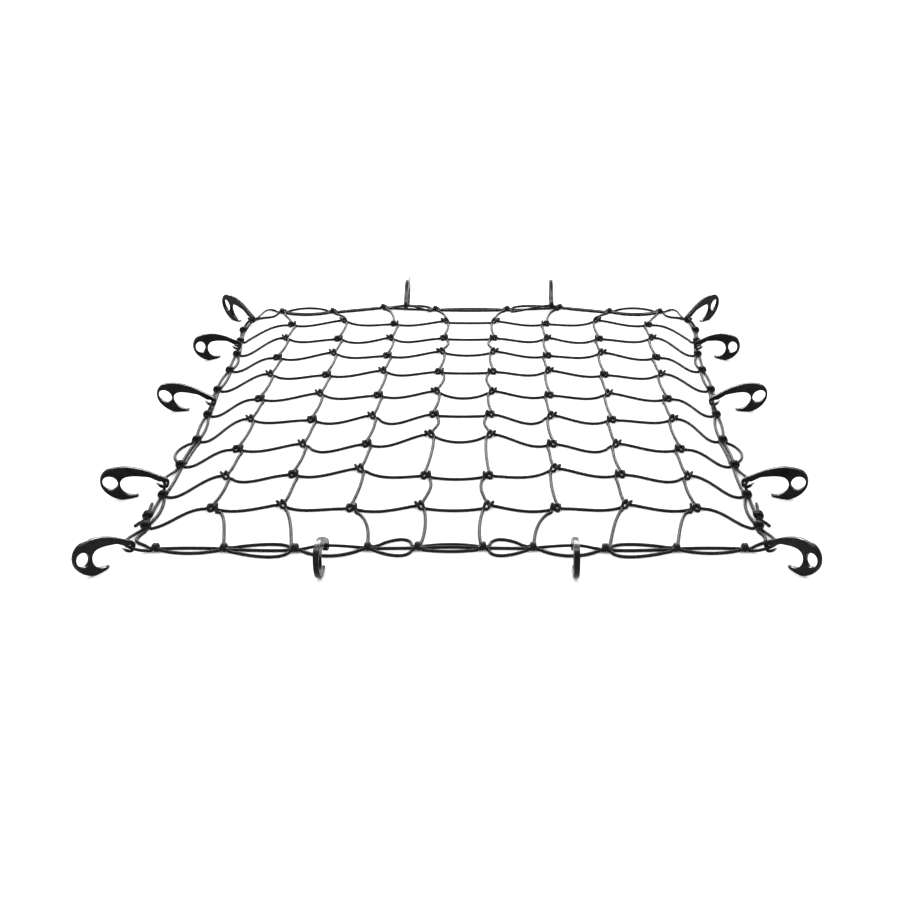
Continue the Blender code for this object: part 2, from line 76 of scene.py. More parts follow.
# "c1" to "c4" say how far each knot lies behind its even place, from the outer column inward.
# "rise" is the way back that a row's cord takes as it leaves the side, "d1" to "d3" the dips that
# it makes as it leaves each knot, and "bay" its swing across the middle.
Row = namedtuple("Row", "name c1 c2 c3 c4 rise d1 d2 d3 bay")
ROWS = (
    Row("A", -14, -5, -14, -8, 6, -12, -16, -13, -8),
    Row("B", -11, -5, 14, -9, -8, -30, -13, -28, -10),
    Row("C", -15, 4, 4, 40, -5, -13, -46, -18, -28),
    Row("D", 3, 0, 16, 22, -8, -18, -26, -54, -4),
    Row("E", -10, 14, 6, 23, -5, -13, -30, -18, -30),
    Row("F", 6, 2, 22, 18, -8, -30, -13, -30, -4),
    Row("G", -10, 15, 0, 21, -8, -20, -30, -13, -16),
    Row("H", -3, -8, -4, -4, -8, -30, -32, -30, -4),
    Row("I", -25, 0, -20, -5, 54, -13, -30, -13, -2),
)

# How a mesh knot's cords leave it and come to it: handles of their curves, along a row towards
# the middle and back along a column.
EARED_ARRIVE, EARED_LEAVE = (-27, -15), 24
ROUND_ARRIVE, ROUND_LEAVE = (-30, -2), 28
COLUMN_ARRIVE = (6, 26)
EARED_DROP, ROUND_DROP, INNER_ROUND_DROP = (2, -28), (-4, -26), (7, -24)
EVEN_DIP = -20  # a cord that dips more than this on leaving a knot also comes lower to the next,
DIP_CARRIED = 0.4  # by this share of the difference
SIDE_LEAVE = 22  # a row cord's way inward as it leaves the side
BAY_LEAVE = 22  # and as it sets out across the net's middle

# How each column's cord meets the edges: "at" is its place along the border knot, and the
# handles are those of its stretch between that knot and the mesh.
Tail = namedtuple("Tail", "at leave arrive")
FRONT_TAILS = (
    Tail(-3, (12, 9), (-8, 44)),
    Tail(-7, (12, -22), (-6, 36)),
    Tail(-2, (18, -14), (0, 36)),
    Tail(2, (4, -22), (6, 36)),
)
BACK_TAILS = (
    Tail(5, (4, -14), (2, 16)),
    Tail(5, (8, -10), (4, 16)),
    Tail(2, (22, -10), (0, 24)),
    Tail(5, (10, -6), (2, 20)),
)

# The border's cords: the third one runs only where a knot has three bows.
OUTER, INNER, THIRD = range(3)

# Border knots. "at" is the place along the edge and "off" the place across it. "bows" says how
# far each cord that leaves the knot swings inward, the outermost cord first, and "lean" moves
# the swing towards the next knot.
Tie = namedtuple("Tie", "name at off bows lean", defaults=(0.0,))
FRONT = (  # from the corner to the middle: at is X, off is Y
    Tie("k0", -392, -506, (-10, 4)),
    Tie("k1", -301, -506, (-19, -2, 15), 0.4),
    Tie("k2", -206, -507, (-18, 6)),
    Tie("k3", -110, -503, (-20, 0, 24), 0.4),
    Tie("k4", -43, -502, (-9, 3, 10)),
)
SIDE = (  # from the front corner to the back corner: at is Y, off is X
    Tie("A", -442, -422, (-3, 8)),
    Tie("B", -348, -422, (-2, 4)),
    Tie("C", -247, -421, (-20, -2, 4)),
    Tie("D", -155, -417, (-5, 6)),
    Tie("E", -54, -422, (-4, 3)),
    Tie("F", 56, -429, (-5, 5)),
    Tie("G", 150, -427, (-3, 8)),
    Tie("H", 232, -430, (-3, 4)),
    Tie("I", 304, -438, (-2, 2)),
    Tie("tie", 366, -444, (-3, 3)),
)
BACK = (  # from the corner to the middle: at is X, off is Y
    Tie("b0", -386, 480, (-26, 10, 18)),
    Tie("b1", -283, 482, (-3, 4)),
    Tie("b2", -182, 508, (-22, 1, 36), 0.4),
    Tie("b3", -73, 496, (-7, 6)),
)

# Cords that turn a corner, the outer one first: how each leaves the side's last knot and comes
# to the front's or the back's first one.
Bend = namedtuple("Bend", "leave arrive")
FRONT_CORNER = (Bend((-12, -24), (-18, -8)), Bend((-14, -44), (-22, 22)))
BACK_CORNER = (Bend((0, 22), (-40, 44)), Bend((-4, 110), (-2, -60)))

# The joining knot closes the outer border cord, which leaves it twice on each side: once as a
# cut end.
JOIN = Tie("join", -413, -427, (0, 0))
CUT_ENDS = ((-432.0, -373.0), (-438.0, -440.0))
JOIN_HANDLE = 4  # of the short way between the joining knot and the border knot before it
JOIN_OVERLAP = 0.1  # a turn in the joining knot runs this share of its reach past the middle
CORNER_CORDS = 2
CORD_SPACING = 5.2  # between the middles of the cords that leave a border knot
BORDER_KNOT_HALF = 8.0
SIDE_TIE_AT = -5.0  # where a row's cord meets its border knot, along the edge

# Turns that a border knot's outer cord takes round the others.
WRAP_TURNS = 2
WRAP_POINTS = 8  # guide points in one turn
WRAP_HALF_WIDTH = 5.3
WRAP_HALF_HEIGHT = 3.5
WRAP_MIDDLE = 6.0  # height of the turns' axis
WRAP_REACH = 3.4  # the turns lie within this distance of the knot's middle
CORE_SQUEEZE = 0.35  # the other cords close up to this share of their spacing
CORE_HEIGHT = 4.8
CORE_POINTS = ((-4.5, 1.6, 3.8), (0, 1, CORE_HEIGHT), (4.5, 1.6, 3.8))  # along, spread, height

# Where a cord's end is tucked into a border knot, from the knot's middle outward: the share of
# a mesh cord's place along the knot, or the third cord's way along it, the way inward and the
# height.
MESH_TUCKS = ((0.3, 1, CORE_HEIGHT), (0.8, 5, 4.0))
THIRD_TUCKS = ((-2, 1.5, CORE_HEIGHT), (3.5, 3.2, 4.2))

# Hooks. "heading" is the way that a hook points, in degrees from +X. "after" is the border
# knot before the hook, and "cord" the one of its cords that the hook's eye holds. "apart" is how
# much farther out the right hook is than the left one.
Hook = namedtuple("Hook", "name x y heading after cord apart")
HOOKS = (
    Hook("corner_front", -422, -519, 236, "corner_front", 0, 0),
    Hook("front", -164, -514, 270, "k2", 1, 0),
    Hook("side_front", -424, -330, 204, "B", 0, 0),
    Hook("side_middle", -421, -22, 189, "E", 0, 0),
    Hook("side_rear", -432, 250, 220, "H", 0, 0),
    Hook("corner_back", -433, 402, 140, "corner_back", 0, 0),
    Hook("back", -134, 492, 90, "b2", 2, 31),
)
HOOK_AT = {hook.name: hook for hook in HOOKS}
HOOK_THICKNESS = 7.5
EYE_HEIGHT = 13.0  # of the border cord's middle where a hook lifts it
EYE_LEVEL = 4.5  # the cord runs level this far each way from a hook's middle
EYE_RADIUS = 3.8
EYE_WALL = 3.0
EYE_ARC = (125.0, 310.0)  # degrees round the eye's closed end
END_ARC = (270.0, 175.0)  # and round the outside of its wall
ARC_STEP = 15.0
THUMB_HOLE_AT = (76.2, 1.7)
THUMB_HOLE_RADII = (12.0, 9.2)
THUMB_HOLE_TILT = 38.0
THUMB_HOLE_SIDES = 48
FOOT_AT = (48.0, -22.6)
FOOT_HALF = 5.0
OUTLINE_STEP = 1.6

# A hook's outline from the side: u runs from its eye to its outer end, v runs up.
BACK_LINE = (
    (-6.5, 5.2), (0.0, 10.2), (10.0, 13.8), (26.0, 20.4), (42.0, 24.8), (58.0, 26.8),
    (72.0, 25.4), (83.0, 21.2), (89.0, 13.6), (90.4, 4.5), (87.5, -5.6), (80.0, -14.4),
    (69.0, -21.2), (58.0, -24.0),
)
POINT = (34.5, -15.6)
UNDER_POINT = (36.5, -19.2)
OVER_POINT = (39.5, -16.9)
THROAT_LINE = (
    (48.5, -16.2), (56.5, -11.4), (61.8, -3.4), (62.3, 4.2), (58.5, 9.6), (50.0, 12.1),
    (34.0, 11.9), (22.5, 10.6), (9.0, 4.2),
)
LIP_INNER = (9.2, 0.8)
LIP_OUTER = (11.8, 0.6)
LIP_BACK = (6.6, -5.0)
CORNER_CUT = 0.9  # how far back a corner's rounding starts

# The rounding of a hook's edges, which is held back where the outline bends tightly.
ROUNDING_TURNS = (0, 30, 60, 90)  # degrees
STRAIGHT_BEND = 0.01  # a smaller bend from point to point counts as none
ROUNDING_SHARE = 0.55  # of a bend's radius
ROUNDING_GROWTH = 0.1  # from one point of the outline to the next
ROUNDING_PASSES = 3
PARTING_FOOT, PARTING_TOP = 0.55, 0.2  # half widths of the parting line

# Rings that round a cord's cut end over: how far out each one is and how wide, in radii.
CUT_END_RINGS = ((0.3, 0.9), (0.48, 0.6))

# Routes through one mesh knot, in the left half: a runs to the net's middle, b to its back, and
# z up. The column cord comes in at the back and the row cord at the outer side.
ROUND_COLUMN = (
    (-0.6, 8.0, 2.5), (-1.0, 5.0, 5.6), (-2.2, 1.0, 8.2), (-2.8, -4.0, 7.6), (-2.2, -7.8, 4.4),
    (-0.4, -8.0, 2.5), (2.4, -4.8, 2.5), (5.0, 0.6, 2.5), (7.2, 4.2, 3.6), (8.2, 4.4, 6.8),
    (8.8, 1.4, 9.0), (9.2, -2.8, 8.0), (9.6, -6.4, 5.2), (9.8, -9.4, 3.0), (10.0, -11.6, 2.5),
)
ROUND_ROW = (
    (-8.0, -0.4, 2.5), (-4.6, -0.6, 3.4), (-1.0, 1.2, 4.8), (2.2, 3.2, 7.8), (4.0, -0.6, 7.6),
    (4.6, -3.6, 5.0), (7.4, -3.6, 2.9), (10.2, -3.6, 2.5),
)
EARED_COLUMN = (
    (2.0, 9.2, 2.5), (-1.6, 8.2, 3.0), (-5.2, 6.8, 4.2), (-6.4, 4.8, 7.2), (-5.0, 1.0, 8.8),
    (-2.6, -3.4, 8.2), (-0.6, -7.4, 5.8), (1.6, -8.8, 3.3), (4.4, -8.6, 3.3), (6.8, -9.4, 3.2),
    (7.6, -11.6, 2.5),
)
EARED_ROW = (
    (-9.4, 1.4, 2.5), (-6.2, 1.2, 2.9), (-2.6, 3.6, 3.6), (-0.4, 6.4, 5.2), (0.6, 5.6, 8.2),
    (2.8, 1.4, 9.6), (5.2, -3.2, 8.4), (6.6, -6.2, 5.4), (7.8, -6.6, 3.0), (10.4, -6.4, 2.5),
)
CORD_MIDDLE = 2.5  # height of the middle of a slack, 5 mm cord that lies on the ground
TURN_JITTER = 7.0  # degrees that a knot's turns differ from the next knot's
SIZE_JITTER = 0.05

# The camera, found from the knots' places in the photograph.
CAMERA_AT = (0.0794, -1.9509, 0.8232)
CAMERA_PITCH = 24.868  # degrees below the level
CAMERA_SHIFT = -0.0665
SENSOR = 36.0

# Soft lights, in metres.
Softbox = namedtuple("Softbox", "place aim size")
BACK_SOFTBOX = Softbox((0, 5.0, 2.2), (0, 0.2, 0), (7.0, 1.2))
TOP_SOFTBOX = Softbox((0, 0.4, 3.2), (0, 0, 0), (2.4, 1.6))
WHITE = (1.0, 1.0, 1.0, 1.0)


def linear(code):
    """Linear colour from an sRGB hex code."""
    channels = [int(code[start:start + 2], 16) / 255 for start in (1, 3, 5)]
    return tuple(
        value / 12.92 if value <= 0.04045 else ((value + 0.055) / 1.055) ** 2.4
        for value in channels
    )


def colour_setting(name, description, code):
    return FloatVectorProperty(
        name=name, description=description, subtype="COLOR", size=3, min=0.0, max=1.0,
        default=linear(code))


class CordSettings(bpy.types.PropertyGroup):
    """Sizes and colours of the elastic cord."""
    diameter: FloatProperty(
        name="Diameter", description="Thickness of the tied cord", default=0.0045, min=0.002,
        max=0.012, precision=4, subtype="DISTANCE", unit="LENGTH")
    sides: IntProperty(
        name="Sides", description="Faces round a cord", default=12, min=6, max=24)
    pick: FloatProperty(
        name="Braid pick", description="Length of one crossing of the sheath's braid",
        default=0.0024, min=0.0008, precision=4, subtype="DISTANCE", unit="LENGTH")
    carriers: IntProperty(
        name="Carriers", description="Yarns that run one way round the sheath, an even number",
        default=8, min=4, max=24)
    yarn: colour_setting("Yarn", "Crown of the sheath's yarns", "#1c1c1d")
    # painted shade: the colour painted into the low gaps between the braid's yarns
    gap: colour_setting("Gap", "Shade between the yarns", "#0b0b0d")


class HookSettings(bpy.types.PropertyGroup):
    """Sizes and colours of the moulded hooks."""
    edge: FloatProperty(
        name="Edge radius", description="Rounding along the plate's edges", default=0.0011,
        min=0.0002, max=0.003, precision=4, subtype="DISTANCE", unit="LENGTH")
    parting: FloatProperty(
        name="Parting line", description="Height of the ridge where the mould's halves met",
        default=0.0003, min=0.0, max=0.001, precision=5, subtype="DISTANCE", unit="LENGTH")
    plastic: colour_setting("Plastic", "Moulded face", "#0b0b0c")
    scuff: colour_setting("Scuff", "Paler flow marks and scuffs", "#161617")


class StageSettings(bpy.types.PropertyGroup):
    """Floor, light and camera."""
    floor: colour_setting("Floor", "Matt backdrop paper", "#f4f4f2")
    floor_size: FloatProperty(
        name="Floor size", description="Side of the backdrop", default=60.0, subtype="DISTANCE",
        unit="LENGTH")
    lens: FloatProperty(
        name="Lens", description="Focal length in millimetres", default=50.0, unit="CAMERA")
    surround: FloatProperty(
        name="Surround", description="Strength of the even light from all round", default=1.7,
        min=0.0)
    back_light: FloatProperty(
        name="Back light", description="Power of the softbox behind the net", default=1400.0,
        unit="POWER")
    top_light: FloatProperty(
        name="Top light", description="Power of the softbox over the net", default=520.0,
        unit="POWER")


# ---- routes, in millimetres ----

def plan(x, y, z=0.0):
    return Vector((x, y, z))


def origin_shift():
    """From the tables' zero to the frame's: the front and back hooks reach equally far."""
    return plan(0, -(HOOK_AT["front"].y + HOOK_AT["back"].y) / 2)


def left_of(travel):
    return Vector((-travel.y, travel.x, 0.0))


def curve_at(start, leave, arrive, end, share):
    """A point of the cubic curve from start to end, whose handles are given as offsets."""
    rest = 1 - share
    return (
        start * rest ** 3
        + (start + leave) * (3 * rest ** 2 * share)
        + (end + arrive) * (3 * rest * share ** 2)
        + end * share ** 3
    )


def strand(start, leave, arrive, end):
    """Points between start and end, with neither of them."""
    steps = max(2, round((end - start).length / STRAND_STEP))
    return [curve_at(start, leave, arrive, end, step / steps) for step in range(1, steps)]


def hook_place(hook, half):
    """A hook's place, as if it were in the left half."""
    return plan(hook.x - (hook.apart if half == "right" else 0), hook.y)


def eye_strand(start, leave, arrive, end, hook, half, slack=HANDLE):
    """A strand that rises to a hook's eye, runs level and square to the hook, and falls again."""
    heading = math.radians(hook.heading)
    through = left_of(plan(math.cos(heading), math.sin(heading)))
    if through.dot(end - start) < 0:
        through.negate()
    lift = plan(0, 0, EYE_HEIGHT - CORD_MIDDLE)
    legs = []
    for turn, far_end, handle in ((-1, start, leave), (1, end, arrive)):
        level = hook_place(hook, half) + plan(0, 0, CORD_MIDDLE) + through * EYE_LEVEL * turn
        span = (far_end - level).length
        reach = span * HANDLE
        handle = handle.normalized() * min(handle.length, span * slack)
        steps = max(3, round(span / STRAND_STEP))
        leg = []
        for step in range(steps):
            share = step / steps
            point = curve_at(level, through * reach * turn, handle, far_end, share)
            rise = 1 - share
            leg.append(point + lift * rise * rise * (3 - 2 * rise))  # eased at both ends
        legs.append(leg)
    return [*reversed(legs[0]), *legs[1]]


def mirrored(points):
    return [Vector((-point.x, point.y, point.z)) for point in points]


def knot_spot(row, column):
    """Middle of a mesh knot. Column 1 is the outermost one."""
    widening = 1 + FAN * (row - MIDDLE_ROW + 0.5) / (len(ROWS) - 1)
    x = (column - MIDDLE_COLUMN) * PITCH * widening
    return plan(x, (row - MIDDLE_ROW) * PITCH + ROW_SHIFT + ROWS[row][column])


def is_eared(row, column):
    return (row + column) % 2 == 0


def knot_route(row, column, eared, plain, half):
    """One cord's turns in a mesh knot, a little different from those of other knots."""
    table = eared if is_eared(row, column) else plain
    luck = random.Random(f"{SEED} {half} {row} {column}")
    turn = Matrix.Rotation(math.radians(luck.uniform(-TURN_JITTER, TURN_JITTER)), 3, "Z")
    size = 1 + luck.uniform(-SIZE_JITTER, SIZE_JITTER)
    spot = knot_spot(row, column)
    last = len(table) - 1
    points = []
    for index, (a, b, z) in enumerate(table):
        own = Vector((a, b, 0))
        if 0 < index < last:
            own = turn @ own * size
        points.append(spot + own + plan(0, 0, z))
    return points


def ports(row, column):
    """Where the cords enter and leave a mesh knot: outward, inward, far and near."""
    row_table, column_table = (
        (EARED_ROW, EARED_COLUMN) if is_eared(row, column) else (ROUND_ROW, ROUND_COLUMN))
    spot = knot_spot(row, column)
    places = (row_table[0], row_table[-1], column_table[0], column_table[-1])
    return [spot + plan(*place) for place in places]


def row_half(row, half):
    """A row cord from inside its border knot to the last knot before the net's middle."""
    tie = SIDE[row]
    points = [
        plan(tie.off + way, tie.at + SIDE_TIE_AT * share, height)
        for share, way, height in MESH_TUCKS
    ]
    start = plan(tie.off + BORDER_KNOT_HALF, tie.at + SIDE_TIE_AT, CORD_MIDDLE)
    rise, *dips = ROWS[row][COLUMNS + 1:]
    leave, dip = plan(SIDE_LEAVE, rise), EVEN_DIP
    for column in range(1, COLUMNS + 1):
        eared = is_eared(row, column)
        outward, inward, _, _ = ports(row, column)
        arrive = plan(*(EARED_ARRIVE if eared else ROUND_ARRIVE))
        arrive.y += (dip - EVEN_DIP) * DIP_CARRIED
        points += [start, *strand(start, leave, arrive, outward)]
        points += knot_route(row, column, EARED_ROW, ROUND_ROW, half)[:-1]
        dip = dips[column - 1]
        start, leave = inward, plan(EARED_LEAVE if eared else ROUND_LEAVE, dip)
    return points + [start]


def row_route(row):
    left, right = row_half(row, "left"), mirrored(row_half(row, "right"))
    bay = ROWS[row].bay
    middle = strand(left[-1], plan(BAY_LEAVE, bay), plan(-BAY_LEAVE, bay), right[-1])
    return left + middle + right[::-1]


def column_end(tie, tail, inward):
    """Points of a column cord's end inside a border knot, and where it leaves the knot."""
    points = [
        plan(tie.at + tail.at * share, tie.off + inward * way, height)
        for share, way, height in MESH_TUCKS
    ]
    return points, plan(tie.at + tail.at, tie.off + inward * BORDER_KNOT_HALF, CORD_MIDDLE)


def column_route(column, half):
    """A column cord from inside its back border knot to inside its front one."""
    tail = BACK_TAILS[column - 1]
    points, start = column_end(BACK[column - 1], tail, -1)
    leave, arrive = plan(*tail.leave), plan(*tail.arrive)
    for row in reversed(range(len(ROWS))):
        _, _, far, near = ports(row, column)
        points += [start, *strand(start, leave, arrive, far)]
        points += knot_route(row, column, EARED_COLUMN, ROUND_COLUMN, half)[:-1]
        plain = INNER_ROUND_DROP if column == COLUMNS else ROUND_DROP
        leave = plan(*(EARED_DROP if is_eared(row, column) else plain))
        start, arrive = near, plan(*COLUMN_ARRIVE)
    tail = FRONT_TAILS[column - 1]
    inside, end = column_end(FRONT[column], tail, 1)
    points += [start, *strand(start, plan(*tail.leave), plan(*tail.arrive), end), end]
    return points + inside[::-1]


class Edge(namedtuple("Edge", "ties along inward sideways")):
    """One edge of the border: its knots, and the ways along it and inward."""

    def spot(self, tie):
        return plan(tie.off, tie.at) if self.sideways else plan(tie.at, tie.off)

    def counts(self, index):
        before = len(self.ties[index - 1].bows) if index else CORNER_CORDS
        return before, len(self.ties[index].bows)

    def port(self, index, cord, side):
        """Where a cord meets a knot: side is -1 before the knot and 1 after it."""
        count = self.counts(index)[(side + 1) // 2]
        across = (cord - (count - 1) / 2) * CORD_SPACING
        return self.place(index, side * BORDER_KNOT_HALF, across, CORD_MIDDLE)

    def place(self, index, a, b, z):
        spot = self.spot(self.ties[index])
        return spot + self.along * a + self.inward * b + plan(0, 0, z)

    def through(self, index, cord):
        """Points of a cord's way through a knot, between its two ports."""
        before, after = self.port(index, cord, -1), self.port(index, cord, 1)
        if cord == OUTER:
            return [before, *self.wraps(index, -1, 1), after]
        count = sum(self.counts(index)) / 2
        across = (cord - count / 2) * CORD_SPACING * CORE_SQUEEZE
        return [
            before,
            *(self.place(index, way, across * spread, z) for way, spread, z in CORE_POINTS),
            after,
        ]

    def wraps(self, index, start, end, turns=WRAP_TURNS):
        """Turns round a knot, from one side of its middle to the other."""
        count = turns * WRAP_POINTS
        points = []
        for step in range(count + 1):
            turn = math.tau * step / WRAP_POINTS
            a = WRAP_REACH * (start + (end - start) * step / count)
            b = -WRAP_HALF_WIDTH * math.cos(turn)
            z = WRAP_MIDDLE + WRAP_HALF_HEIGHT * math.sin(turn)
            points.append(self.place(index, a, b, max(z, CORD_MIDDLE)))
        return points

    def bow(self, index, cord, half):
        """Points of a cord between a knot and the next, with neither port."""
        tie = self.ties[index]
        start, end = self.port(index, cord, 1), self.port(index + 1, cord, -1)
        leave, arrive = bow_handles(start, end, self.inward, tie, cord)
        for hook in HOOKS:
            if (hook.after, hook.cord) == (tie.name, cord):
                return eye_strand(start, leave, arrive, end, hook, half)
        return strand(start, leave, arrive, end)

    def run(self, cord, half, first=0):
        """A cord's way from the first knot to the edge's last one, through both."""
        points = self.through(first, cord)
        for index in range(first + 1, len(self.ties)):
            points += self.bow(index - 1, cord, half) + self.through(index, cord)
        return points


def bow_handles(start, end, inward, tie, cord):
    """Handles of a border cord that swings by its bow from the line between two knots."""
    chord = end - start
    own = (cord - (len(tie.bows) - 1) / 2) * CORD_SPACING
    swing = inward * (tie.bows[cord] - own) / ARCH
    leave = chord * HANDLE * (1 + 2 * tie.lean) + swing
    arrive = -chord * HANDLE * (1 - 2 * tie.lean) + swing
    return leave, arrive


ACROSS, BACKWARD = plan(1, 0), plan(0, 1)
FRONT_EDGE = Edge(FRONT, ACROSS, BACKWARD, False)
SIDE_EDGE = Edge(SIDE, BACKWARD, ACROSS, True)
BACK_EDGE = Edge(BACK, ACROSS, -BACKWARD, False)
JOIN_EDGE = Edge((JOIN,), BACKWARD, ACROSS, True)


def corner(cord, at_front, half):
    """Points from a side's end knot round the corner to the other edge's first knot."""
    if at_front:
        start, end = SIDE_EDGE.port(0, cord, -1), FRONT_EDGE.port(0, cord, -1)
        hook, bend, slack = HOOK_AT["corner_front"], FRONT_CORNER[cord], HANDLE
    else:
        start, end = SIDE_EDGE.port(len(SIDE) - 1, cord, 1), BACK_EDGE.port(0, cord, -1)
        hook, bend, slack = HOOK_AT["corner_back"], BACK_CORNER[cord], CORNER_SLACK
    leave, arrive = plan(*bend.leave), plan(*bend.arrive)
    if cord == OUTER:
        return eye_strand(start, leave, arrive, end, hook, half, slack)
    return strand(start, leave, arrive, end)


def middle_bay(edge, cord):
    """Points across the net's middle, from the left half's last knot to the right half's."""
    last = len(edge.ties) - 1
    start = edge.port(last, cord, 1)
    end = mirrored([start])[0]
    leave, arrive = bow_handles(start, end, edge.inward, edge.ties[last], cord)
    return strand(start, leave, arrive, end)


def across_middle(left, bay, right):
    """The left half's points, those of the middle bay, and the right half's, drawn as a left."""
    return left + bay + mirrored(right)[::-1]


def cut_tail(side, cut):
    """A cut end, the points from it to the joining knot, and its one turn in that knot."""
    tip = plan(*cut, CORD_MIDDLE)
    port = JOIN_EDGE.port(0, OUTER, side)
    reach = (tip - port).length / 3
    inward = BACKWARD * reach * side
    turn = JOIN_EDGE.wraps(0, side, -side * JOIN_OVERLAP, 1)
    return [tip, *strand(tip, -inward, inward, port), port, *turn]


def front_half(half):
    """The outer cord's front part: a cut end, the joining knot, the corner and the front."""
    points = cut_tail(1, CUT_ENDS[0])
    start, end = JOIN_EDGE.port(0, INNER, -1), SIDE_EDGE.port(0, OUTER, 1)
    points += [start, *strand(start, plan(0, -JOIN_HANDLE), plan(0, JOIN_HANDLE), end)]
    points += SIDE_EDGE.through(0, OUTER)[::-1]
    return points + corner(OUTER, True, half) + FRONT_EDGE.run(OUTER, half)


def back_half(half):
    """The outer cord's long part: a cut end, the joining knot, the side and the back."""
    points = cut_tail(-1, CUT_ENDS[1])
    start, end = JOIN_EDGE.port(0, INNER, 1), SIDE_EDGE.port(1, OUTER, -1)
    reach = (end - start).length / 3
    points += [start, *strand(start, plan(0, reach), plan(0, -reach), end)]
    points += SIDE_EDGE.run(OUTER, half, first=1)
    return points + corner(OUTER, False, half) + BACK_EDGE.run(OUTER, half)


def inner_half(half):
    """The inner cord from the front's middle knot round to the back's."""
    points = FRONT_EDGE.run(INNER, half)[::-1] + corner(INNER, True, half)[::-1]
    points += SIDE_EDGE.run(INNER, half) + corner(INNER, False, half)
    return points + BACK_EDGE.run(INNER, half)


def inner_loop():
    """The inner cord, all the way round the net."""
    bay = middle_bay(BACK_EDGE, INNER)
    points = across_middle(inner_half("left"), bay, inner_half("right"))
    return points + mirrored(middle_bay(FRONT_EDGE, INNER))


def third_runs(edge):
    """Pairs of knots between which a third cord runs, and the first knot of one that goes on."""
    runs, first = [], None
    for index, tie in enumerate(edge.ties):
        trebled = len(tie.bows) > THIRD
        if trebled and first is None:
            first = index
        elif first is not None and not trebled:
            runs.append((first, index))
            first = None
    return runs, first


def tucked(edge, index, side):
    """Points of a third cord's end inside a knot, from the knot's middle to its port."""
    points = [edge.place(index, side * way, inward, height) for way, inward, height in THIRD_TUCKS]
    return [*points, edge.port(index, THIRD, side)]


def third_stretch(edge, first, last, half):
    """Points of a third cord from inside its first knot through its last one."""
    points = tucked(edge, first, 1)
    for index in range(first, last):
        points += edge.bow(index, THIRD, half) + edge.through(index + 1, THIRD)
    return points


def third_cords():
    """The short doubling cords, some of which cross the net's middle."""
    routes = []
    for edge in (FRONT_EDGE, SIDE_EDGE, BACK_EDGE):
        runs, open_run = third_runs(edge)
        halves = {}
        for half in ("left", "right"):
            for first, last in runs:
                points = third_stretch(edge, first, last - 1, half)
                points += edge.bow(last - 1, THIRD, half) + tucked(edge, last, -1)[::-1]
                routes.append(points if half == "left" else mirrored(points))
            if open_run is not None:
                halves[half] = third_stretch(edge, open_run, len(edge.ties) - 1, half)
        if halves:
            bay = middle_bay(edge, THIRD)
            routes.append(across_middle(halves["left"], bay, halves["right"]))
    return routes


# ---- meshes ----

def smooth_path(points, closed):
    """Fill in a smooth curve through the points, with more steps where they stand close."""
    count = len(points)
    last = count if closed else count - 1
    chords = [points[(index + 1) % count] - points[index] for index in range(last)]
    spans = [chord.length for chord in chords]
    ways = [chord / span for chord, span in zip(chords, spans)]

    def slope(index):
        index %= count
        if closed or 0 < index < count - 1:
            before, after = (index - 1) % last, index % last
            total = spans[before] + spans[after]
            return (ways[before] * spans[after] + ways[after] * spans[before]) / total
        return ways[0] if index == 0 else ways[-1]

    path = []
    for index in range(last):
        start, end = points[index], points[(index + 1) % count]
        span = spans[index]
        leave, arrive = slope(index) * span / 3, slope(index + 1) * span / -3
        steps = max(1, math.ceil(span / KNOT_STEP)) if span < KNOT_SPAN else 2
        for step in range(steps):
            path.append(curve_at(start, leave, arrive, end, step / steps))
    if not closed:
        path.append(points[-1])
    return path


def carried_frames(path, closed):
    """At each point of a path, two ways across it that are carried along without twisting."""
    count = len(path)
    tangents = []
    for index in range(count):
        before = path[index - 1] if closed or index else path[0]
        after = path[(index + 1) % count] if closed or index < count - 1 else path[-1]
        tangents.append((after - before).normalized())
    side = tangents[0].cross(Vector((0, 0, 1))).normalized()
    sides = []
    for tangent in tangents:
        side = (side - tangent * side.dot(tangent)).normalized()
        sides.append(side)
    if closed:
        first = (sides[-1] - tangents[0] * sides[-1].dot(tangents[0])).normalized()
        twist = math.atan2(first.cross(sides[0]).dot(tangents[0]), first.dot(sides[0]))
        sides = [
            Matrix.Rotation(twist * index / count, 3, tangent) @ side
            for index, (side, tangent) in enumerate(zip(sides, tangents))
        ]
    return [(side, tangent.cross(side)) for side, tangent in zip(sides, tangents)]


